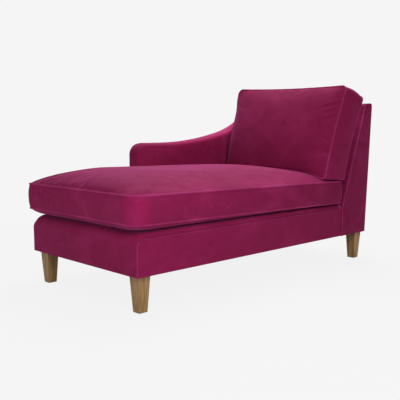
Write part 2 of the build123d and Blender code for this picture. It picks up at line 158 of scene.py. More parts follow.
def velvet_group():
    """Stroked pile: broad brushed patches, small bruises and fine fibres, with painted light and shade from
    each point.
    """
    group, given, out = node_group("velvet_pile", ("Color", "Roughness", "Height", "Sheen"),
                                   Base=MAGENTA, Brushed=MAGENTA_LIGHT, Deep=MAGENTA_DEEP)
    broad = noise(group, scaled_place(group, (5.0, 3.2, 6.5)), Detail=3.0, Roughness=0.55, Distortion=0.6)
    bruise = noise(group, scaled_place(group, (26, 20, 24)), Detail=4.0, Roughness=0.6, Distortion=0.3)
    fibre = noise(group, scaled_place(group, (900, 900, 900)), Detail=2.0, Roughness=0.6)
    # Painted light and shade stored on the points: above 0 a painted highlight, below 0 painted shade; it
    # scales the colour and raises or lowers the sheen
    painted_shading = add_node(group, "ShaderNodeAttribute", attribute_name="painted_shading").outputs["Fac"]
    lit = mix_colour(group, ramp(group, broad, 0.42, 0.78), given["Base"], given["Brushed"])
    dark = mix_colour(group, ramp(group, bruise, 0.52, 0.90), lit, given["Deep"])
    tufts = mix_colour(group, ramp(group, fibre, 0.50, 0.95), dark, given["Deep"])
    return give(
        group, out, Color=scale_vector(group, tufts, calculate(group, "ADD", painted_shading, 1.0)),
        Roughness=map_range(group, bruise, 0.3, 0.7, 0.78, 0.95),
        Height=calculate(group, "MULTIPLY_ADD", bruise, 1.6, fibre),
        Sheen=calculate(group, "MULTIPLY_ADD", painted_shading, PAINTED_SHEEN_LIFT, BASE_SHEEN, use_clamp=True))


def timber_group():
    """Straight grain along one axis with darker growth lines and pores."""
    group, given, out = node_group("timber_grain", ("Color", "Roughness", "Height"),
                                   Light=OAK_LIGHT, Dark=OAK_DARK, Stretch=(60.0, 60.0, 4.0))
    along = scaled_place(group, given["Stretch"])
    growth = noise(group, along, Detail=5.0, Roughness=0.62, Distortion=0.9)
    pores = noise(group, scale_vector(group, along, 7.0), Detail=3.0, Roughness=0.5)
    bands = mix_colour(group, ramp(group, growth, 0.36, 0.66), given["Dark"], given["Light"])
    return give(
        group, out, Color=mix_colour(group, ramp(group, pores, 0.56, 0.74), bands, given["Dark"]),
        Roughness=map_range(group, growth, 0.3, 0.7, 0.62, 0.42), Height=pores)


def weave_group():
    """A plain weave of two crossing sets of threads, with slubs."""
    group, given, out = node_group("plain_weave", ("Color", "Roughness", "Height"),
                                   Warp=WARP, Weft=WEFT, Threads=600.0)
    threads = scale_vector(group, object_place(group), given["Threads"])
    checker = add_node(group, "ShaderNodeTexChecker", {"Vector": threads},
                       Scale=1.0, Color1=(1, 1, 1, 1), Color2=(0, 0, 0, 1))
    crossing = checker.outputs["Fac"]
    slub = noise(group, threads, scale=0.15, Detail=3.0)
    cloth = mix_colour(group, crossing, given["Warp"], given["Weft"])
    return give(
        group, out, Color=mix_colour(group, ramp(group, slub, 0.45, 0.9), cloth, given["Weft"]),
        Roughness=map_range(group, slub, 0.0, 1.0, 0.8, 0.95), Height=crossing)


def finish_material(name, group, inputs, relief, depth, shader_values):
    material = bpy.data.materials.new(name)
    material.use_nodes = True
    tree = material.node_tree
    shader = tree.nodes["Principled BSDF"].inputs
    pattern = tree.nodes.new("ShaderNodeGroup")
    pattern.node_tree = group
    for key, value in inputs.items():
        pattern.inputs[key].default_value = value
    made = pattern.outputs
    for output, socket in (("Color", "Base Color"), ("Roughness", "Roughness"), ("Sheen", "Sheen Weight")):
        if output in made:
            tree.links.new(made[output], shader[socket])
    bumps = add_node(tree, "ShaderNodeBump", {"Height": made["Height"]}, Strength=relief, Distance=depth)
    tree.links.new(bumps.outputs["Normal"], shader["Normal"])
    for key, value in shader_values.items():
        shader[key].default_value = value
    return material


pile, grain, weave = velvet_group(), timber_group(), weave_group()
PILE_BUMP, PILE_DEPTH = 0.22, 0.0009
PILE_SHEEN = {"Sheen Roughness": 0.35, "Sheen Tint": (1.0, 0.24, 0.70, 1), "Specular IOR Level": 0.12}
velvet = finish_material("magenta_velvet", pile, {}, PILE_BUMP, PILE_DEPTH, PILE_SHEEN)
# The piping takes the lighter colours above: a painted highlight on the cords
painted_highlight_cord = finish_material(
    "magenta_velvet_piping_painted_highlight", pile, {"Base": CORD_PAINTED_HIGHLIGHT, "Brushed": CORD_PAINTED_HIGHLIGHT_BRUSHED, "Deep": MAGENTA},
    PILE_BUMP, PILE_DEPTH, PILE_SHEEN)
oak = finish_material("oiled_oak", grain, {}, 0.25, 0.0006, {"Specular IOR Level": 0.35})


def even_grain(name, light, dark, stretch, relief, depth, shader_values):
    inputs = {"Light": light, "Dark": dark, "Stretch": (stretch, stretch, stretch)}
    return finish_material(name, grain, inputs, relief, depth, shader_values)


pine = even_grain("frame_pine", PINE_LIGHT, PINE_DARK, 9.0, 0.2, 0.0006, {"Specular IOR Level": 0.3})
hardboard = even_grain("hardboard", BOARD_LIGHT, BOARD_DARK, 90.0, 0.15, 0.0004, {"Specular IOR Level": 0.2})
steel = even_grain("zinc_steel", ZINC_LIGHT, ZINC_DARK, 80.0, 0.08, 0.0003, {"Metallic": 1.0})
dust_cloth = finish_material("black_dust_cloth", weave, {}, 0.2, 0.0003, {"Specular IOR Level": 0.1})


# Making meshes
SAME_POINT = 1e-6


def smooth_faces(mesh):
    mesh.polygons.foreach_set("use_smooth", [True] * len(mesh.polygons))


def turn_outwards(mesh, join=None):
    """Turns a closed mesh's faces outwards and smooth. Points nearer than join, if given, become one."""
    shape = bmesh.new()
    shape.from_mesh(mesh)
    if join is not None:
        bmesh.ops.remove_doubles(shape, verts=shape.verts, dist=join)
    bmesh.ops.recalc_face_normals(shape, faces=shape.faces)
    shape.to_mesh(mesh)
    shape.free()
    smooth_faces(mesh)


def link_piece(name, mesh):
    piece = bpy.data.objects.new(name, mesh)
    scene.collection.objects.link(piece)
    return piece


def new_piece(name, points, faces, material):
    mesh = bpy.data.meshes.new(name)
    mesh.from_pydata([tuple(map(float, p)) for p in points], [], faces)
    turn_outwards(mesh, join=SAME_POINT)
    mesh.materials.append(material)
    return link_piece(name, mesh)


def read_vectors(items, field):
    found = np.empty(len(items) * 3, np.float32)
    items.foreach_get(field, found)
    return found.reshape(-1, 3).astype(float)


def coords(piece):
    return read_vectors(piece.data.vertices, "co")


def set_coords(piece, points):
    piece.data.vertices.foreach_set("co", np.asarray(points, np.float32).ravel())
    piece.data.update()


def evaluated_mesh(piece):
    graph = bpy.context.evaluated_depsgraph_get()
    graph.update()
    return bpy.data.meshes.new_from_object(piece.evaluated_get(graph))


def bake_modifiers(piece):
    mesh, old = evaluated_mesh(piece), piece.data
    piece.modifiers.clear()
    piece.data = mesh
    bpy.data.meshes.remove(old)
    smooth_faces(mesh)


def apply_modifier(piece, kind, **values):
    modifier = piece.modifiers.new(kind.lower(), kind)
    for key, value in values.items():
        setattr(modifier, key, value)
    bake_modifiers(piece)


def unit(vectors):
    return vectors / norm(vectors, axis=-1, keepdims=True)


def smoothstep(t):
    t = np.clip(t, 0, 1)
    return t * t * (3 - 2 * t)


def bump(distance, reach):
    """1 at no distance, fading to nearly 0 past the reach."""
    return np.exp(-(distance / reach) ** 2)


def quarter_round(distance, radius):
    """How far a rounded edge falls away at a distance in from the edge."""
    near = np.clip(radius - distance, 0, radius)
    return radius - np.sqrt(np.maximum(radius ** 2 - near ** 2, 0))


def edge_spread(length, fine, count):
    """Sample places from 0 to length, close together at both ends."""
    ends = np.array([0, 0.08, 0.3, 0.65, 1.0, 1.7, 3.0]) * fine
    ends = ends[ends < length * 0.45]
    middle = np.linspace(ends[-1], length - ends[-1], count)
    return np.unique(np.concatenate([ends, middle, length - ends]).round(6))


def sheet(name, rows, columns, rule, material=velvet):
    """A closed sheet with walled edges. The rule gives each row and column its outer and inner point."""
    pairs = np.array([[rule(row, column) for column in columns] for row in rows])
    points = np.concatenate([pairs[:, :, 0].reshape(-1, 3), pairs[:, :, 1].reshape(-1, 3)])
    count = len(rows) * len(columns)
    grid = np.arange(count).reshape(len(rows), len(columns))
    faces = []
    corners = (grid[:-1, :-1], grid[1:, :-1], grid[1:, 1:], grid[:-1, 1:])
    for quad in zip(*(corner.ravel().tolist() for corner in corners)):
        faces.append(quad)
        faces.append(tuple(count + k for k in reversed(quad)))
    rim = np.concatenate([grid[:, 0], grid[-1, 1:], grid[-2::-1, -1], grid[0, -2:0:-1]]).tolist()
    for a, b in zip(rim, rim[1:] + rim[:1]):
        faces.append((a, b, count + b, count + a))
    return new_piece(name, points, faces, material)


def padded_panel(name, place, lengths, normal, thick, puff, edge, spread=0.045, steps=(0.03, 0.02)):
    """A velvet panel over place(u, v), of rough lengths, swelling a little from rounded edges."""
    face = np.array(normal, float)

    def rule(u, v):
        point = np.array(place(u / lengths[0], v / lengths[1]))
        rim = min(u, lengths[0] - u, v, lengths[1] - v)
        rise = puff * (1 - exp(-rim / spread)) - quarter_round(rim, edge)
        return point + face * rise, point - face * max(thick, edge + 0.0005)

    us = edge_spread(lengths[0], edge, max(8, int(lengths[0] / steps[0])))
    vs = edge_spread(lengths[1], edge, max(6, int(lengths[1] / steps[1])))
    return sheet(name, us, vs, rule)


def ring_body(name, rings):
    """A closed velvet body through rings of equal counts, with a cap at each end."""
    count = len(rings[0])
    points = np.concatenate(rings)
    faces = [tuple(reversed(range(count)))]
    for i in range(len(rings) - 1):
        for j in range(count):
            k = (j + 1) % count
            faces.append((i * count + j, i * count + k, (i + 1) * count + k, (i + 1) * count + j))
    faces.append(tuple(range((len(rings) - 1) * count, len(rings) * count)))
    return new_piece(name, points, faces, velvet)


SIDE_STEPS, CORNER_STEPS = 44, 6


def rounded_loop(corners, radii, draws):
    """A loop round four corners, anticlockwise, each side drawn in between its rounded corners."""
    loop = []
    for i in range(4):
        start, stop = np.array(corners[i], float), np.array(corners[(i + 1) % 4], float)
        along = unit(stop - start)
        inward = np.array((-along[1], along[0]))
        radius = radii[(i + 1) % 4]
        a, b = start + along * radii[i], stop - along * radius
        for t in np.linspace(0, 1, SIDE_STEPS):
            loop.append(a + (b - a) * t + inward * draws[i] * 4 * t * (1 - t))
        for turn in np.linspace(0, pi / 2, CORNER_STEPS + 2)[1:-1]:
            loop.append(b + inward * radius + radius * (along * sin(turn) - inward * cos(turn)))
    return np.array(loop)


# Piping and welts: a tube that follows a seam, from one tree of geometry nodes
CUSHION_CORD, BASE_CORD, END_CORD, CORNER_CORD = 0.0036, 0.0016, 0.0034, 0.0013


def piping_tree():
    tree = bpy.data.node_groups.new("piping", "GeometryNodeTree")
    for socket, kind in (("Seam", "Geometry"), ("Radius", "Float"), ("Unevenness", "Float"),
                         ("Sides", "Int"), ("Cloth", "Material")):
        tree.interface.new_socket(socket, in_out="INPUT", socket_type="NodeSocket" + kind)
    tree.interface.new_socket("Cord", in_out="OUTPUT", socket_type="NodeSocketGeometry")
    given, out = tree.nodes.new("NodeGroupInput").outputs, tree.nodes.new("NodeGroupOutput").inputs
    waver = add_node(tree, "ShaderNodeTexNoise", Scale=38.0, Detail=1.0).outputs["Color"]
    centred = add_node(tree, "ShaderNodeVectorMath", {0: waver, 1: (0.5, 0.5, 0.5)}, operation="SUBTRACT")
    sway = scale_vector(tree, centred.outputs[0], given["Unevenness"])
    seam = add_node(tree, "GeometryNodeSetPosition", {"Geometry": given["Seam"], "Offset": sway})
    section = add_node(tree, "GeometryNodeCurvePrimitiveCircle",
                       {"Radius": given["Radius"], "Resolution": given["Sides"]})
    tube = add_node(tree, "GeometryNodeCurveToMesh", {
        "Curve": seam.outputs["Geometry"], "Profile Curve": section.outputs["Curve"], "Fill Caps": True})
    dressed = add_node(tree, "GeometryNodeSetMaterial",
                       {"Geometry": tube.outputs["Mesh"], "Material": given["Cloth"]})
    tree.links.new(dressed.outputs["Geometry"], out["Cord"])
    return tree


piping_nodes = piping_tree()


def piping(name, path, radius, closed=True, unevenness=0.0012):
    curve = bpy.data.curves.new(name + "_seam", "CURVE")
    curve.dimensions = "3D"
    spline = curve.splines.new("POLY")
    spline.points.add(len(path) - 1)
    for point, place in zip(spline.points, path):
        point.co = (*map(float, place), 1)
    spline.use_cyclic_u = closed
    seam = link_piece(name + "_seam", curve)
    maker = seam.modifiers.new("piping", "NODES")
    maker.node_group = piping_nodes
    values = {"Radius": radius, "Unevenness": unevenness, "Sides": 10, "Cloth": painted_highlight_cord}
    for item in piping_nodes.interface.items_tree:
        if item.name in values:
            maker[item.identifier] = values[item.name]
    mesh = evaluated_mesh(seam)
    mesh.name = name
    bpy.data.objects.remove(seam)
    turn_outwards(mesh)
    return link_piece(name, mesh)


# Stuffed cushions: remeshed, swollen by cloth pressure between pinned seams, then subdivided
SEAM_STEP, PIN_REACH = 0.004, 0.008
CLOTH_FRAMES, CLOTH_CAP = 20, 0.020
CLOTH = {
    "quality": 4, "mass": 0.3, "tension_stiffness": 12, "compression_stiffness": 12, "shear_stiffness": 4,
    "bending_stiffness": 2.0, "air_damping": 2, "use_pressure": True, "uniform_pressure_force": 4.0,
    "vertex_group_mass": "pinned"}
PANEL_INSETS = (0.012, 0.03, 0.055, 0.09, 0.14, 0.20, 0.27, 0.33)
CROWN_EASE = 0.003


def remesh(piece, size):
    apply_modifier(piece, "REMESH", mode="VOXEL", voxel_size=size)


def subdivide(piece):
    apply_modifier(piece, "SUBSURF", levels=1, render_levels=1)


def seam_tree(*seams):
    """A search tree over points close together along closed seams."""
    found = []
    for seam in seams:
        for a, b in zip(seam, np.roll(seam, -1, axis=0)):
            count = max(1, int(norm(b - a) / SEAM_STEP))
            found += [a + (b - a) * i / count for i in range(count)]
    tree = KDTree(len(found))
    for i, point in enumerate(found):
        tree.insert(point, i)
    tree.balance()
    return tree


def draw_to_seams(piece, tree, reach):
    """Pulls the cloth near a seam onto it, so that the piping sits in the seam."""
    points = coords(piece)
    for i, point in enumerate(points):
        seam, _, away = tree.find(point)
        if away < reach:
            points[i] += (np.array(seam) - point) * smoothstep(1.3 * (1 - away / reach))
    set_coords(piece, points)


def stuff(piece, tree, held):
    """Blows the cushion up as cloth, with the seams and the held points pinned and every move capped."""
    start = coords(piece)
    pinned = [i for i, p in enumerate(start) if held(p) or tree.find(p)[2] < PIN_REACH]
    group = piece.vertex_groups.new(name="pinned")
    group.add(pinned, 1.0, "REPLACE")
    cloth = piece.modifiers.new("stuffing", "CLOTH")
    for key, value in CLOTH.items():
        setattr(cloth.settings, key, value)
    cloth.settings.effector_weights.gravity = 0
    cloth.collision_settings.use_collision = False
    cloth.point_cache.frame_start, cloth.point_cache.frame_end = 1, CLOTH_FRAMES
    for number in range(1, CLOTH_FRAMES + 1):
        scene.frame_set(number)
    bake_modifiers(piece)
    scene.frame_set(1)
    move = coords(piece) - start
    length = norm(move, axis=1, keepdims=True)
    move *= np.minimum(1, CLOTH_CAP / np.maximum(length, 1e-9))
    set_coords(piece, start + move)
    piece.vertex_groups.clear()


def along_line(points, start, stop):
    """How far along a straight line each point lies, from 0 to 1, and its distance from that line."""
    a, b = np.array(start), np.array(stop)
    run = b - a
    t = np.clip(((points - a) @ run) / (run @ run), 0, 1)
    return t, norm(points - (a + t[:, None] * run), axis=1)


def press_creases(piece, creases):
    """The piece's points with lines pressed into the cloth, each deepest a third of the way along."""
    points, normals = coords(piece), read_vectors(piece.data.vertex_normals, "vector")
    for start, stop, depth, width in creases:
        t, away = along_line(points, start, stop)
        fade = np.sin(np.pi * np.clip(0.25 + 0.75 * t, 0, 1)) ** 0.8
        press = depth * fade * (bump(away, width) - 0.55 * bump(away - 1.7 * width, width))
        points = points - normals * press[:, None]
    return points


def lay_painted_shading(piece, rule):
    """Stores painted light and shade at each point: above 0 a painted highlight, below 0 painted shade."""
    layer = piece.data.attributes.new("painted_shading", "FLOAT", "POINT")
    layer.data.foreach_set("value", np.asarray(rule(coords(piece)), np.float32))


def dress(piece, *nodes, body="frame", slot="velvet", fill=None, painted_shading=None):
    """Puts a piece on its body with its painted light and shade, standing for its CAD nodes if it has any.
    The slot is not used.
    """
    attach(piece, body)
    if nodes:
        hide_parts(*nodes)
    if painted_shading is not None:
        lay_painted_shading(piece, painted_shading)


# Seat cushion
SEAT_NEAR, SEAT_FAR = X_NEAR + 0.006, X_FAR + 0.0048
SEAT_FOOT, SEAT_REAR = -0.796, 0.537
SEAT_MID = ((SEAT_NEAR + SEAT_FAR) / 2, (SEAT_FOOT + SEAT_REAR) / 2)
SEAT_BORDER, SEAT_CROWN, SEAT_DRAW, SEAT_FLARE = 0.109, 0.064, 0.007, 0.024
SEAT_SEAM, SEAT_TOP = 0.33053, 0.523
SEAT_SWELL, HELD_SWELL, SEAT_CORNER = 0.011, 0.003, 0.030
SEAT_CORNER_SHARES = (1.0, 1.9, 0.8, 0.8)
FLARE_START = Y_ARM - 0.092
SEAT_FALL = tan(radians(0.9))
LOWER_RING, UPPER_RING = 4, 10
SEAT_FLOOR = Z_DECK + 0.0006
CLOTH_GAP, CORD_GAP, KNEE_GAP, HELD_REACH = 0.0012, 0.0052, 0.0015, 0.004


def past_arm(y):
    return smoothstep((FLARE_START - y) / (FLARE_START - SEAT_FOOT))


def seat_loop(inset, radius):
    """The seat cushion's plan at an inset, flared past the arm at the foot end."""
    held = max(inset, -HELD_SWELL)
    corners = [(SEAT_FAR + held, SEAT_FOOT + inset), (SEAT_NEAR - inset, SEAT_FOOT + inset),
               (SEAT_NEAR - inset, SEAT_REAR - held), (SEAT_FAR + held, SEAT_REAR - held)]
    radii = [radius * share for share in SEAT_CORNER_SHARES]
    loop = rounded_loop(corners, radii, (SEAT_DRAW, SEAT_DRAW, 0.0, 0.0))
    across = (SEAT_NEAR - loop[:, 0]) / (SEAT_NEAR - SEAT_FAR)
    loop[:, 0] -= SEAT_FLARE * past_arm(loop[:, 1]) * np.clip(across, 0, 1)
    return loop


def seat_seam(y, height=0.0):
    """Height of the bottom seam, or of a line above it, along the cushion."""
    return SEAT_SEAM - (y - SEAT_MID[1]) * SEAT_FALL + height


def seat_crown(loop):
    """Shares of the crown's height, fuller at the foot end and along the arm than elsewhere."""
    across, along = loop[:, 0] - SEAT_MID[0], loop[:, 1] - SEAT_MID[1]
    far_half = SEAT_MID[0] - SEAT_FAR + SEAT_FLARE * past_arm(loop[:, 1])
    half = np.where(across > 0, SEAT_NEAR - SEAT_MID[0], far_half) + CROWN_EASE
    u, v = np.abs(across) / half, np.abs(along) / (SEAT_REAR - SEAT_MID[1] + CROWN_EASE)
    fullness = np.where(across > 0, 3.0, 8.0), np.where(along > 0, 6.0, 14.0)
    return (np.clip(1 - u ** fullness[0], 0, 1) * np.clip(1 - v ** fullness[1], 0, 1)) ** 0.8


def at_height(loop, height):
    return np.column_stack([loop, np.broadcast_to(height, len(loop))])


def seat_rings():
    """Rings from the underside's middle, out and up the border, and in over the crown."""
    rings = []
    for inset, share in ((0.110, 0.0), (0.062, 0.04), (0.030, 0.22), (0.011, 0.56)):
        loop = seat_loop(inset, SEAT_CORNER + inset * 0.3)
        rings.append(at_height(loop, SEAT_FLOOR + share * (seat_seam(loop[:, 1]) - SEAT_FLOOR)))
    for share, swell in ((0, 0), (0.15, 0.56), (0.32, 0.9), (0.5, 1), (0.68, 0.9), (0.85, 0.56), (1, 0)):
        loop = seat_loop(-SEAT_SWELL * swell, SEAT_CORNER + 0.012 * swell)
        rings.append(at_height(loop, seat_seam(loop[:, 1], share * SEAT_BORDER)))
    for inset in PANEL_INSETS:
        loop = seat_loop(inset, SEAT_CORNER + inset * 0.3)
        rings.append(at_height(loop, seat_seam(loop[:, 1], SEAT_BORDER) + SEAT_CROWN * seat_crown(loop)))
    return rings


def clear_arm(points, gap):
    """Keeps points beside the arm a gap away from its inside face."""
    beside = points[:, 1] > Y_ARM - 0.02
    points[beside, 0] = np.maximum(points[beside, 0], X_FAR + gap)


rings = seat_rings()
border_rings = rings[LOWER_RING:UPPER_RING + 1]
seat_seams = seam_tree(rings[LOWER_RING], rings[UPPER_RING])
seat = ring_body("seat_cushion", rings)
remesh(seat, 0.010)
stuff(seat, seat_seams, lambda p: p[2] < Z_DECK + HELD_REACH)
points = coords(seat)
over = points[:, 2] - seat_seam(points[:, 1], SEAT_BORDER)
points[:, 2] += (SEAT_TOP - points[:, 2].max()) * smoothstep(over / max(over.max(), 1e-6))
set_coords(seat, points)
subdivide(seat)
draw_to_seams(seat, seat_seams, 0.016)

# Creases as start, stop, depth and width, and pull marks on the open side as start and stop
PULL_X, MARK_DEPTH, MARK_WIDTH = 0.434, 0.0042, 0.008
SEAT_CREASES = [
    ((0.0, -0.787, 0.452), (0.005, -0.69, 0.492), 0.0038, 0.01),
    ((0.055, -0.77, 0.468), (0.045, -0.65, 0.5), 0.0034, 0.01),
    ((-0.11, -0.787, 0.452), (-0.09, -0.715, 0.482), 0.0022, 0.01),
    ((-0.235, -0.786, 0.452), (-0.2, -0.7, 0.484), 0.0018, 0.012),
    ((-0.15, -0.803, 0.355), (-0.16, -0.804, 0.4), 0.0022, 0.01),
    ((-0.24, -0.803, 0.44), (-0.235, -0.804, 0.4), 0.0022, 0.01),
    ((0.1, -0.796, 0.355), (0.095, -0.797, 0.395), 0.0018, 0.01),
]
PULL_MARKS = [((PULL_X, *start), (PULL_X, *stop)) for start, stop in (
    ((-0.544, 0.354), (-0.555, 0.388)), ((-0.414, 0.367), (-0.412, 0.392)),
    ((-0.345, 0.412), (-0.339, 0.386)), ((-0.327, 0.359), (-0.295, 0.382)),
    ((-0.277, 0.412), (-0.27, 0.38)), ((0.115, 0.405), (0.122, 0.372)))]
points = press_creases(seat, SEAT_CREASES + [(*mark, MARK_DEPTH, MARK_WIDTH) for mark in PULL_MARKS])
clear_arm(points, CLOTH_GAP)
points[:, 1] = np.minimum(points[:, 1], Y_KNEE - KNEE_GAP)
points[:, 2] = np.maximum(points[:, 2], SEAT_FLOOR)
set_coords(seat, points)

# Painted light and shade on the seat, and where
CORNER_PAINTED_HIGHLIGHT, MARK_PAINTED_HIGHLIGHT, REAR_SIDE_PAINTED_SHADE, REAR_TOP_PAINTED_LIGHT, FOOT_TOP_PAINTED_SHADE = 0.24, 0.40, -0.14, 0.07, -0.13
NEAR_FOOT_CORNER, CORNER_REACH, MARK_REACH = (0.418, -0.775), 0.045, 0.006


def seat_painted_shading(p):
    """Painted highlights at the near foot corner and along the pull marks, painted light on top at the rear,
    and painted shade on the sides at the rear and on top of the foot end.
    """
    on_top = smoothstep((p[:, 2] - seat_seam(p[:, 1], SEAT_BORDER)) / 0.010)
    corner = bump(norm(p[:, :2] - NEAR_FOOT_CORNER, axis=1), CORNER_REACH)
    marks = sum(bump(along_line(p, *mark)[1], MARK_REACH) for mark in PULL_MARKS)
    foot = 1 - smoothstep((p[:, 1] + 0.75) / 0.25)
    rear = smoothstep(p[:, 1] / 0.3)
    sides = CORNER_PAINTED_HIGHLIGHT * corner + MARK_PAINTED_HIGHLIGHT * marks + REAR_SIDE_PAINTED_SHADE * rear
    return (1 - on_top) * sides + on_top * (REAR_TOP_PAINTED_LIGHT * rear + FOOT_TOP_PAINTED_SHADE * foot)


for name, level in (("seat_top_piping", UPPER_RING), ("seat_bottom_piping", LOWER_RING)):
    path = rings[level].copy()
    clear_arm(path, CORD_GAP)
    dress(piping(name + "_velvet", path, CUSHION_CORD), name, body="seat_cushion")
seat_faces = [tuple(face.vertices) for face in seat.data.polygons]
seat_tree = BVHTree.FromPolygons([Vector(p) for p in coords(seat)], seat_faces)

# The foot corners' places along the rings, and how far their seams bow and run along the side
NEAR_CORNER, ARM_CORNER = SIDE_STEPS + (CORNER_STEPS - 1) / 2, -(CORNER_STEPS + 1) / 2
CORNER_RUN, CORNER_BOW, RUN_START = 2.3, 0.45, 0.74


def corner_seam(middle, lean):
    """The seam up a foot corner: it bows to the foot end and runs into the top piping along the side."""
    path = []
    for share in np.linspace(0, 1, 40):
        run = CORNER_RUN * smoothstep((share - RUN_START) / (1 - RUN_START))
        place = middle + lean * (run - CORNER_BOW * sin(pi * share))
        level = share * (len(border_rings) - 1)
        k = min(int(level), len(border_rings) - 2)
        i = int(np.floor(place))
        low, high = (ring[i] + (ring[i + 1] - ring[i]) * (place - i) for ring in border_rings[k:k + 2])
        path.append(seat_tree.find_nearest(Vector(low + (high - low) * (level - k)))[0])
    return path


for name, middle, lean in (("near", NEAR_CORNER, 1), ("arm", ARM_CORNER, -1)):
    path = corner_seam(middle, lean)
    seam = piping("seat_corner_seam_" + name, path, CORNER_CORD, closed=False, unevenness=0.0005)
    dress(seam, body="seat_cushion")
dress(seat, "seat_cushion_case", "seat_cushion_filling", body="seat_cushion", fill=0.75, painted_shading=seat_painted_shading)

# Back cushion: leans on the back and settles on the seat's crown
BACK_WIDTH, BACK_HEIGHT, BACK_THICK = 0.756, 0.488, 0.150
BACK_CROWN, BACK_REAR_CROWN, BACK_DRAW = 0.040, 0.016, 0.008
BACK_TUCK, BACK_OVERHANG, BACK_SWELL = 0.045, 0.014, 0.009
BACK_INSETS = PANEL_INSETS[:6]
REAR_RING, FRONT_RING = 6, 10
EDGE_MARGIN, SEAM_CLEAR, CLOTH_CLEAR = 0.025, 0.005, 0.001
NEAR_SEAT, HELD_BELOW, OVERHANG_START = 0.56, 0.53, 0.835
skew, tilt, rake = (radians(a) for a in (3.2, 1.4, 17.5))
width_way = np.array((cos(skew) * cos(tilt), -sin(skew), -cos(skew) * sin(tilt)))
facing = np.array((-cos(rake) * sin(skew), -cos(rake) * cos(skew), sin(rake)))
width_way = unit(width_way - facing * (width_way @ facing))
back_axes = np.array((width_way, np.cross(facing, width_way), facing))
back_origin = np.array((X_FAR + 0.0068 + BACK_WIDTH / 2, Y_KNEE - 0.143, Z_DECK + 0.142))


def in_back(places):
    """Points from their places across, up and out from the back cushion's front."""
    return back_origin + places @ back_axes


def back_loop(inset, radius):
    """The back cushion's front view at an inset, tucked in low beside the arm and hung over it higher up."""
    half = BACK_WIDTH / 2 - inset
    corners = [(-half, inset), (half, inset), (half, BACK_HEIGHT - inset), (-half, BACK_HEIGHT - inset)]
    loop = rounded_loop(corners, [radius] * 4, (0.0, BACK_DRAW, BACK_DRAW, BACK_DRAW))
    by_arm = np.clip(1 - (loop[:, 0] + BACK_WIDTH / 2) / 0.30, 0, 1) ** 1.5
    low = np.clip(1 - loop[:, 1] / 0.26, 0, 1) ** 1.4
    high = smoothstep((loop[:, 1] - 0.34) / 0.10)
    loop[:, 0] += by_arm * (BACK_TUCK * low - BACK_OVERHANG * high)
    return loop


def back_crown(loop):
    u = np.abs(loop[:, 0]) / (BACK_WIDTH / 2 + CROWN_EASE)
    v = np.abs(loop[:, 1] - BACK_HEIGHT / 2) / (BACK_HEIGHT / 2 + CROWN_EASE)
    return (np.clip(1 - u ** 4, 0, 1) * np.clip(1 - v ** 3, 0, 1)) ** 0.75


def back_rings():
    """Rings from the rear's middle, out and round the border, and in over the front."""
    def panel(inset, depth, crown):
        loop = back_loop(inset, 0.02 + inset * 0.35)
        return in_back(at_height(loop, depth + crown * back_crown(loop)))

    rings = [panel(inset, -BACK_THICK, -BACK_REAR_CROWN) for inset in reversed(BACK_INSETS)]
    for share, swell in ((0, 0), (0.2, 0.6), (0.5, 1), (0.8, 0.6), (1, 0)):
        loop = back_loop(-BACK_SWELL * swell, 0.026 + 0.006 * swell)
        rings.append(in_back(at_height(loop, (share - 1) * BACK_THICK)))
    return rings + [panel(inset, 0.0, BACK_CROWN) for inset in BACK_INSETS]


slope = unit(BROW - KNEE)
slope_out = np.array((-slope[1], slope[0]))


def seat_height(x, y):
    """Height of the seat's crown; past the cushion's edge, that of the nearest place inside it."""
    x = min(max(x, SEAT_FAR + EDGE_MARGIN), SEAT_NEAR - EDGE_MARGIN)
    hit = seat_tree.ray_cast(Vector((x, min(y, SEAT_REAR - EDGE_MARGIN), 0.9)), Vector((0, 0, -1)))
    return hit[0].z


def settle(points, clear):
    """Keeps the back cushion's points above the seat, clear of the arm and in front of the back."""
    settled = np.array(points, float)
    for p in settled:
        if p[2] < NEAR_SEAT:
            p[2] = max(p[2], seat_height(p[0], p[1]) + clear)
        p[0] = max(p[0], X_FAR + clear - BACK_OVERHANG * smoothstep((p[2] - OVERHANG_START) / 0.04))
        front = (p[1:] - KNEE) @ slope_out
        p[1:] += slope_out * max(0, clear - front)
    return settled


rings = back_rings()
back_rear_seam, back_front_seam = settle(rings[REAR_RING], SEAM_CLEAR), settle(rings[FRONT_RING], SEAM_CLEAR)
back_seams = seam_tree(back_rear_seam, back_front_seam)
back = ring_body("back_cushion", rings)
remesh(back, 0.008)
set_coords(back, settle(coords(back), CLOTH_CLEAR))
stuff(back, back_seams, lambda p: p[2] < HELD_BELOW and p[2] < seat_height(p[0], p[1]) + HELD_REACH)
subdivide(back)
draw_to_seams(back, back_seams, 0.014)

# Creases of the back, by places across, up and out
BACK_CREASES = [
    ((0.365, 0.395, 0.01), (0.27, 0.36, 0.03), 0.0028, 0.009),
    ((0.365, 0.33, 0.01), (0.29, 0.29, 0.03), 0.0022, 0.009),
    ((0.362, 0.2, 0.01), (0.3, 0.215, 0.03), 0.002, 0.009),
    ((-0.365, 0.4, 0.01), (-0.29, 0.355, 0.03), 0.0022, 0.009),
    ((0.08, 0.06, 0.03), (0.09, 0.105, 0.04), 0.0022, 0.008),
    ((-0.11, 0.08, 0.03), (-0.1, 0.125, 0.04), 0.0022, 0.008),
    ((0.24, 0.045, 0.02), (0.25, 0.085, 0.03), 0.0018, 0.008),
    ((0.383, 0.3, -0.02), (0.383, 0.27, -0.09), 0.002, 0.009),
    ((0.383, 0.12, -0.13), (0.383, 0.16, -0.06), 0.002, 0.009),
]
back_creases = [(*in_back(np.array(ends)), depth, width) for *ends, depth, width in BACK_CREASES]
set_coords(back, settle(press_creases(back, back_creases), CLOTH_CLEAR))
# Painted shade over the back cushion and its pipings
BACK_PAINTED_SHADE, LOW_ARM_PAINTED_SHADE = -0.06, -0.22


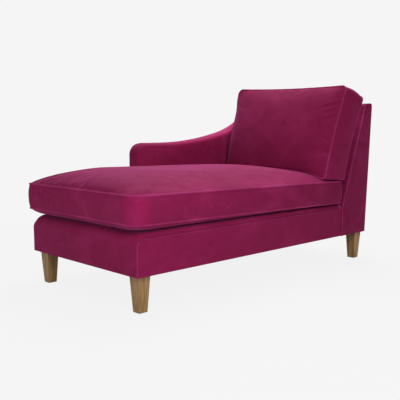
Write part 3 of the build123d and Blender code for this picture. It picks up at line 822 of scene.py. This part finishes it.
def back_painted_shade(p):
    """Painted shade: a little darker all over, and darker still low down beside the arm."""
    across, up, _ = back_axes @ (p - back_origin).T
    low = 1 - smoothstep((up - 0.02) / 0.34)
    return BACK_PAINTED_SHADE + LOW_ARM_PAINTED_SHADE * low * (1 - smoothstep((across + 0.40) / 0.50))


for name, seam in (("front", back_front_seam), ("rear", back_rear_seam)):
    node = f"back_cushion_{name}_piping"
    dress(piping(node + "_velvet", seam, CUSHION_CORD), node, body="back_cushion", painted_shading=back_painted_shade)
dress(back, "back_cushion_case", "back_cushion_filling", body="back_cushion", fill=0.8, painted_shading=back_painted_shade)


# Base: the foot and deck in one padded sheet, two side panels, and a thin welt at their seam
FOOT_ROLL, SIDE_ROUND, DECK_ROUND, HEM_ROUND = 0.048, 0.034, 0.022, 0.003
COVER_GAP, FOOT_PUFF, SIDE_PUFF, PANEL_EDGE = 0.0003, 0.004, 0.0035, 0.004
WELT_PROUD, WELT_SINK = 0.001, 0.0015


def foot_profile():
    """Points and outward normals up the foot end, round the roll and along the deck."""
    found = []
    for z in edge_spread(Z_DECK - FOOT_ROLL - Z_BASE, 0.006, 10)[:-3]:
        found.append(((Y_FOOT, Z_BASE + z), (-1.0, 0.0)))
    for turn in np.linspace(0, pi / 2, 10):
        out, up = -cos(turn), sin(turn)
        found.append(((Y_FOOT + FOOT_ROLL * (1 + out), Z_DECK - FOOT_ROLL * (1 - up)), (out, up)))
    for y in np.linspace(Y_FOOT + FOOT_ROLL, Y_KNEE, 40)[1:]:
        found.append(((y, Z_DECK), (0.0, 1.0)))
    return found


def foot_and_deck():
    left, right = X_FAR + COVER + COVER_GAP, X_NEAR - COVER - COVER_GAP

    def rule(row, x):
        (y, z), (out, up) = row
        rim = min(x - left, right - x)
        hem = z - Z_BASE if up == 0 else 1.0
        fall = up * quarter_round(rim, DECK_ROUND) + (1 - up) * quarter_round(rim, HEM_ROUND)
        rise = FOOT_PUFF * (1 - up) * (1 - exp(-rim / 0.05)) * (1 - exp(-hem / 0.03))
        rise -= quarter_round(hem, HEM_ROUND)
        outer = (x, y + out * (rise - (1 - up) * fall), z + up * (rise - fall))
        return outer, (x, y - out * COVER, z - up * (COVER + quarter_round(rim, DECK_ROUND)))

    return sheet("foot_and_deck_velvet", foot_profile(), left + edge_spread(right - left, 0.010, 34), rule)


def side_top(y):
    return Z_SIDE - quarter_round(y - Y_FOOT, SIDE_ROUND)


def base_side(name, face, outward):
    def place(u, v):
        y = Y_FOOT + u * (Y_KNEE - Y_FOOT)
        return face, y, Z_BASE + v * (side_top(y) - Z_BASE)

    size = (Y_KNEE - Y_FOOT, Z_SIDE - Z_BASE)
    return padded_panel(name, place, size, (outward, 0, 0), COVER, SIDE_PUFF, PANEL_EDGE)


def side_seam(x, rear):
    front = Y_FOOT + WELT_PROUD
    path = [(x, front, z) for z in np.linspace(Z_BASE + 0.002, Z_SIDE - SIDE_ROUND, 8)[:-1]]
    for turn in np.linspace(0, pi / 2, 8):
        z = Z_SIDE - SIDE_ROUND + SIDE_ROUND * sin(turn)
        path.append((x, front + SIDE_ROUND * (1 - cos(turn)), z))
    path += [(x, y, Z_SIDE) for y in np.linspace(Y_FOOT + SIDE_ROUND, rear, 40)[1:]]
    return path


dress(foot_and_deck(), "foot_and_deck_cover", "deck_foam", "seat_felt", fill=0.9)
for side, face, outward in (("near", X_NEAR, 1), ("arm", X_FAR, -1)):
    dress(base_side(f"base_side_{side}_velvet", face, outward), "base_side_panel_" + side)
for side, x, rear in (("near", X_NEAR - WELT_SINK, Y_KNEE - 0.008), ("arm", X_FAR + WELT_SINK, Y_ARM)):
    dress(piping("base_welt_" + side, side_seam(x, rear), BASE_CORD, closed=False))


# Back unit
TOP_ROUND, BROW_ROUND, KNEE_ROUND = 0.016, 0.014, 0.02
ARM_ROUND_IN, ARM_ROUND_OUT, CREST_ROUND_IN = 0.018, 0.013, 0.003
BACK_GAP, END_THICK, END_PUFF, END_PAINTED_SHADE = 0.0006, 0.010, 0.003, -0.12
END_WELT_X, WELT_REACH = X_NEAR + 0.0035, 0.0033
slope_length = norm(BROW - KNEE)
top_along = unit(CREST - BROW)
top_out = np.array((-top_along[1], top_along[0]))


def rear_y(z):
    return np.interp(z, (HEEL[1], CREST[1]), (HEEL[0], CREST[0]))


def front_y(z):
    return np.interp(z, (KNEE[1], BROW[1]), (KNEE[0], BROW[0]))


def on_curve(start, corner, stop, t):
    """A point on the curve from start to stop that rounds off a corner."""
    return (1 - t) ** 2 * start + 2 * t * (1 - t) * corner + t * t * stop


def on_crest(t):
    """A point from the brow to the crest, where the top rounds into the outside back."""
    point = BROW + (CREST - BROW) * t
    return point - (0, quarter_round(CREST[0] + COVER - point[0], TOP_ROUND))


def inside_back():
    """Up the back's sloping front, round the brow and over the top."""
    left, right = X_FAR + BACK_GAP, X_NEAR - COVER - BACK_GAP
    profile = [(np.array((Y_KNEE, z)), np.array((-1.0, 0.0))) for z in (Z_DECK - 0.045, Z_DECK - 0.025)]
    for s in np.linspace(0, slope_length - BROW_ROUND, 26):
        profile.append((KNEE + slope * s, slope_out))
    for t in np.linspace(0, 1, 7)[1:]:
        point = on_curve(BROW - slope * BROW_ROUND, BROW, BROW + top_along * BROW_ROUND, t)
        profile.append((point, unit((1 - t) * slope_out + t * top_out)))
    for t in np.linspace(0.3, 1, 10):
        profile.append((on_crest(t), top_out))

    def rule(row, x):
        point, way = row
        fall = quarter_round(min(x - left, right - x), HEM_ROUND)
        return (x, *(point - way * fall)), (x, *(point - way * COVER))

    return sheet("inside_back_velvet", profile, left + edge_spread(right - left, 0.005, 30), rule)


def back_end():
    """The wedge that closes the back on the open side."""
    def place(u, v):
        z = Z_BASE + v * (Z_TOP - 0.002 - Z_BASE)
        front, rear = front_y(z), rear_y(z) - quarter_round(Z_TOP - z, TOP_ROUND)
        return END_FACE, front + u * (rear - front), z

    size = (0.19, Z_TOP - Z_BASE)
    return padded_panel("back_end_velvet", place, size, (1, 0, 0), END_THICK, END_PUFF, PANEL_EDGE, 0.03)


def outside_back():
    """The flat rear, its top corner lowered to meet the arm's border."""
    lean = unit(np.array((0, Z_TOP - Z_BASE, HEEL[0] - CREST[0])))

    def place(u, v):
        x = X_ARM + u * (END_FACE - X_ARM)
        top = Z_TOP - quarter_round(x - X_ARM, ARM_ROUND_OUT)
        z = Z_BASE + v * (top - Z_BASE)
        return x, rear_y(z) + COVER - quarter_round(top - z, TOP_ROUND), z

    size = (END_FACE - X_ARM, Z_TOP - Z_BASE)
    return padded_panel("outside_back_velvet", place, size, lean, COVER - COVER_GAP, 0.0, PANEL_EDGE)


def end_seam():
    """The seam up the wedge's front edge, round the knee and up the slope."""
    low = np.array((Y_KNEE, KNEE[1] - KNEE_ROUND))
    path = [(END_WELT_X, Y_KNEE - WELT_REACH, z) for z in np.linspace(Z_BASE, low[1], 10)]
    bend = [on_curve(low, KNEE, KNEE + slope * KNEE_ROUND, t) for t in np.linspace(0, 1, 6)[1:]]
    rise = [KNEE + slope * s for s in np.linspace(KNEE_ROUND, slope_length, 30)[1:]]
    return path + [(END_WELT_X, *(point + slope_out * WELT_REACH)) for point in bend + rise]


dress(inside_back(), "inside_back_cover", "back_foam", "back_webbing", fill=0.9)
# The wedge is painted a little darker all over: painted shade
dress(back_end(), "back_end_panel", painted_shading=lambda p: np.full(len(p), END_PAINTED_SHADE))
dress(outside_back(), "outside_back_cover")
dress(piping("back_end_piping", end_seam(), END_CORD, closed=False), "back_end_welt")


# Arm: two side panels and a soft border up its front and along its top
ARM_CORNER_ROUND, ARM_LEVEL, SWEEP_RADIUS, SWEEP_ANGLE = 0.060, 0.105, 2.0, radians(13.9)
FRONT_STEPS, EVENED = 26, 28
BORDER_SEAM, SEAM_LAP, BORDER_CROWN = 0.021, 0.003, 0.003
ARM_FOLD, FOLD_WIDTH, FOLD_LENGTH, FOLD_RISE = (0.452, 0.560), 0.016, 0.085, 0.0065
# Painted highlights under the border, along the fold and along the arm's top
UNDER_BORDER_PAINTED_HIGHLIGHT, FOLD_PAINTED_HIGHLIGHT, ARM_TOP_PAINTED_HIGHLIGHT = 0.22, 0.25, 0.28


def arm_profile():
    """The arm's edge from the foot of its front to the back's crest."""
    corner = ARM_CORNER_ROUND
    path = [(Y_ARM, z) for z in np.linspace(Z_BASE, Z_ARM - corner, FRONT_STEPS)]
    for turn in np.linspace(0, pi / 2, 14)[1:]:
        path.append((Y_ARM + corner * (1 - cos(turn)), Z_ARM - corner + corner * sin(turn)))
    path += [(Y_ARM + corner + s, Z_ARM) for s in np.linspace(0, ARM_LEVEL, 7)[1:]]
    rise_start = Y_ARM + corner + ARM_LEVEL
    for turn in np.linspace(0, SWEEP_ANGLE, 20)[1:]:
        path.append((rise_start + SWEEP_RADIUS * sin(turn), Z_ARM + SWEEP_RADIUS * (1 - cos(turn))))
    start = np.array(path[-1])
    along = np.array((cos(SWEEP_ANGLE), sin(SWEEP_ANGLE)))
    left = np.array((-along[1], along[0]))
    chord = BROW - start
    bend = (chord @ chord) / (2 * (chord @ left))
    sweep = 2 * atan2(chord @ left, chord @ along)
    for turn in np.linspace(0, sweep, 14)[1:]:
        path.append(start + bend * (left + along * sin(turn) - left * cos(turn)))
    path += [on_crest(t) for t in np.linspace(0, 1, 13)[1:]]
    return np.array(path)


arm_path = arm_profile()
along_path = unit(np.gradient(arm_path, axis=0))
for _ in range(6):
    before, at, after = along_path[-EVENED - 1:-2], along_path[-EVENED:-1], along_path[1 - EVENED:]
    along_path[-EVENED:-1] = (before + 2 * at + after) / 4
    along_path = unit(along_path)
path_out = np.column_stack([-along_path[:, 1], along_path[:, 0]])


def arm_top(y):
    return np.interp(y, arm_path[FRONT_STEPS - 1:, 0], arm_path[FRONT_STEPS - 1:, 1])


def arm_fold(y, z):
    """The share of the fold's rise on the arm's inside, near the back."""
    return bump(y - ARM_FOLD[0], FOLD_WIDTH) * np.exp(-((z - ARM_FOLD[1]) / FOLD_LENGTH) ** 4)


def arm_side(name, face, outward):
    """One side of the arm. Its rear edge leans, so each place is found in two rounds."""
    inset = BORDER_SEAM - SEAM_LAP
    front = Y_ARM + inset

    def place(u, v):
        z = Z_BASE + v * 0.5
        for _ in range(2):
            y = front + u * (rear_y(z) - 0.001 - front)
            z = Z_BASE + v * (arm_top(y) - inset - Z_BASE)
        return face + (FOLD_RISE * arm_fold(y, z) if outward > 0 else 0.0), y, z

    return padded_panel(name, place, (0.94, 0.52), (outward, 0, 0), COVER, 0.002, 0.002, steps=(0.008, 0.012))


def arm_border():
    """Across the arm from seam to seam with rounded shoulders, swept along its edge."""
    half, middle = (X_FAR - X_ARM) / 2, (X_FAR + X_ARM) / 2

    def shoulder(radius):
        turns = np.linspace(0, pi / 2, 8)
        rounded = [(half - radius * (1 - cos(t)), -radius * (1 - sin(t))) for t in turns]
        return [(half, -BORDER_SEAM), (half, -BORDER_SEAM * 0.95)] + rounded

    def section(round_in, crown):
        inside, outside = shoulder(round_in), [(-a, b) for a, b in reversed(shoulder(ARM_ROUND_OUT))]
        start, stop = inside[-1][0], outside[0][0]
        top = [(start + (stop - start) * t, crown * 4 * t * (1 - t)) for t in np.linspace(0, 1, 9)[1:-1]]
        return inside + top + outside

    def rule(row, j):
        point, way, places = row
        across, out = places[j]
        deep = out - COVER if abs(across) < half - 0.007 else out
        within = np.clip(across, -half + COVER, half - COVER)
        return (middle + across, *(point + way * out)), (middle + within, *(point + way * min(deep, -COVER)))

    rows = []
    for point, way in zip(arm_path, path_out):
        at_back = smoothstep((point[0] - BROW[0] + 0.035) / 0.035)
        round_in = ARM_ROUND_IN + (CREST_ROUND_IN - ARM_ROUND_IN) * at_back
        rows.append((point, way, section(round_in, BORDER_CROWN * (1 - at_back))))
    return sheet("arm_border_velvet", rows, range(len(rows[0][2])), rule)


def arm_inside_painted_highlight(p):
    """Painted highlights under the border and along the fold."""
    return UNDER_BORDER_PAINTED_HIGHLIGHT * bump(arm_top(p[:, 1]) - p[:, 2], 0.04) + FOLD_PAINTED_HIGHLIGHT * arm_fold(p[:, 1], p[:, 2])


def border_painted_highlight(p):
    """A painted highlight along the top, between the front corner and the back."""
    return ARM_TOP_PAINTED_HIGHLIGHT * smoothstep((p[:, 1] + 0.02) / 0.12) * (1 - smoothstep((p[:, 1] - 0.56) / 0.14))


dress(arm_side("arm_inside_velvet", X_FAR, 1), "arm_inside_panel", painted_shading=arm_inside_painted_highlight)
dress(arm_side("arm_outside_velvet", X_ARM, -1), "arm_outside_panel")
dress(arm_border(), "arm_border", painted_shading=border_painted_highlight)


# Dust cloths under the base and the arm
CLOTH_THICK = 0.0012


def dust_sheet(name, node, sag):
    low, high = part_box(node)

    def rule(u, v):
        x, y = low.x + u * (high.x - low.x), low.y + v * (high.y - low.y)
        z = low.z - sag * (16 * u * (1 - u) * v * (1 - v)) ** 0.6
        return (x, y, z), (x, y, z + CLOTH_THICK)

    piece = sheet(name, np.linspace(0, 1, 25), np.linspace(0, 1, 37), rule, dust_cloth)
    dress(piece, node, slot="dust_cloth")


dust_sheet("base_dust_cloth", "base_dust_cover", 0.004)
dust_sheet("arm_dust_cloth", "arm_dust_cover", 0.001)


# Legs: tapered oak with eased edges
LEG_TOP, LEG_SOLE, LEG_EASE, SOLE_EASE = 0.058, 0.040, 0.0020, 0.0015


def tapered_leg(node):
    low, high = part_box(node)
    middle = (low + high) / 2
    shape = bmesh.new()
    bmesh.ops.create_cube(shape, size=1.0)
    for vertex in shape.verts:
        width, z = (LEG_TOP, high.z) if vertex.co.z > 0 else (LEG_SOLE, low.z)
        vertex.co = Vector((middle.x + vertex.co.x * width, middle.y + vertex.co.y * width, z))
    uprights = [e for e in shape.edges if abs(e.verts[0].co.z - e.verts[1].co.z) > 0.1]
    bmesh.ops.bevel(shape, geom=uprights, offset=LEG_EASE, segments=3, profile=0.5, affect="EDGES")
    sole = [e for e in shape.edges if all(v.co.z < low.z + 1e-5 for v in e.verts)]
    bmesh.ops.bevel(shape, geom=sole, offset=SOLE_EASE, segments=2, profile=0.5, affect="EDGES")
    bmesh.ops.recalc_face_normals(shape, faces=shape.faces)
    mesh = bpy.data.meshes.new(node + "_oak")
    shape.to_mesh(mesh)
    shape.free()
    mesh.materials.append(oak)
    dress(link_piece(node + "_oak", mesh), node, slot="oak")


for node in ("leg_foot_near", "leg_foot_arm", "leg_rear_near", "leg_rear_arm"):
    tapered_leg(node)

# Frame nodes that stay keep their shapes and get their finish
INNER_FINISH = {
    "frame_timber": pine, "hardboard": hardboard, "steel": steel, "oak": oak, "velvet": velvet}
node_slots = {entry["node"]: entry["material_slot"] for entry in frame["record"]["subparts"]}
for name, node in frame["nodes"].items():
    node.data.materials.clear()
    node.data.materials.append(INNER_FINISH.get(node_slots.get(name), pine))

# Stage: pale floor, soft light, camera
BACKDROP = (0.913, 0.913, 0.913, 1)
PAPER = (0.86, 0.86, 0.86, 1)
FLOOR_REACH, AMBIENT = 40, 0.15
PHOTO_SIZE, FOCAL_LENGTH, IMAGE_CENTRE, SENSOR = 400.0, 611.7774, (208.8744, 202.215), 36.0
CAMERA_PLACE, CAMERA_DIP, CAMERA_ROUND = (2.172, -2.1302, 0.6866), 6.686678, 45.601928


def blend_shaders(tree, share, first, second, surface):
    blend = add_node(tree, "ShaderNodeMixShader", {0: share, 1: first.outputs[0], 2: second.outputs[0]})
    tree.links.new(blend.outputs[0], surface.inputs["Surface"])


floor_mesh = bpy.data.meshes.new("floor")
floor_corners = [(x * FLOOR_REACH, y * FLOOR_REACH, 0) for x, y in ((-1, -1), (1, -1), (1, 1), (-1, 1))]
floor_mesh.from_pydata(floor_corners, [], [(0, 1, 2, 3)])
floor = link_piece("floor", floor_mesh)
paper = bpy.data.materials.new("pale_paper")
paper.use_nodes = True
tree = paper.node_tree
tree.nodes.clear()
matt = add_node(tree, "ShaderNodeBsdfDiffuse", Color=PAPER)
glow = add_node(tree, "ShaderNodeEmission", Color=BACKDROP, Strength=1.0)
rays = add_node(tree, "ShaderNodeLightPath").outputs
reach = add_node(tree, "ShaderNodeVectorMath", {0: object_place(tree)}, operation="LENGTH").outputs["Value"]
fade = map_range(tree, reach, 0.8, 2.6, 0.95, 1.0)
seen = calculate(tree, "MULTIPLY", rays["Is Camera Ray"], fade)
blend_shaders(tree, seen, matt, glow, add_node(tree, "ShaderNodeOutputMaterial"))
floor_mesh.materials.append(paper)

world = bpy.data.worlds.new("studio")
scene.world = world
world.use_nodes = True
tree = world.node_tree
ambient = tree.nodes["Background"]
ambient.inputs["Color"].default_value = (1, 1, 1, 1)
ambient.inputs["Strength"].default_value = AMBIENT
backdrop = add_node(tree, "ShaderNodeBackground", Color=BACKDROP, Strength=1.0)
rays = add_node(tree, "ShaderNodeLightPath").outputs
either = calculate(tree, "MAXIMUM", rays["Is Camera Ray"], rays["Is Glossy Ray"])
blend_shaders(tree, either, ambient, backdrop, tree.nodes["World Output"])


def softbox(name, place, target, size, power):
    lamp = bpy.data.lights.new(name, "AREA")
    lamp.shape = "DISK"
    lamp.size = size
    lamp.energy = power
    box = link_piece(name, lamp)
    box.location = place
    box.rotation_euler = (Vector(target) - Vector(place)).to_track_quat("-Z", "Y").to_euler()
    box.visible_camera = False


softbox("overhead_softbox", (-0.5, 1.0, 2.9), (0.0, 0.1, 0.4), 2.2, 86)
softbox("open_side_softbox", (2.0, -1.4, 1.55), (0.2, -0.3, 0.3), 1.4, 31)
softbox("foot_end_fill", (0.4, -2.4, 0.45), (0.0, -0.7, 0.3), 0.7, 4.0)

lens = bpy.data.cameras.new("photo_camera")
lens.sensor_width = SENSOR
lens.lens = FOCAL_LENGTH * SENSOR / PHOTO_SIZE
lens.shift_x = (PHOTO_SIZE / 2 - IMAGE_CENTRE[0]) / PHOTO_SIZE
lens.shift_y = (IMAGE_CENTRE[1] - PHOTO_SIZE / 2) / PHOTO_SIZE
camera = link_piece("photo_camera", lens)
camera.location = CAMERA_PLACE
camera.rotation_euler = (radians(90.0 - CAMERA_DIP), 0.0, radians(CAMERA_ROUND))
scene.camera = camera
scene.view_settings.view_transform = "Standard"
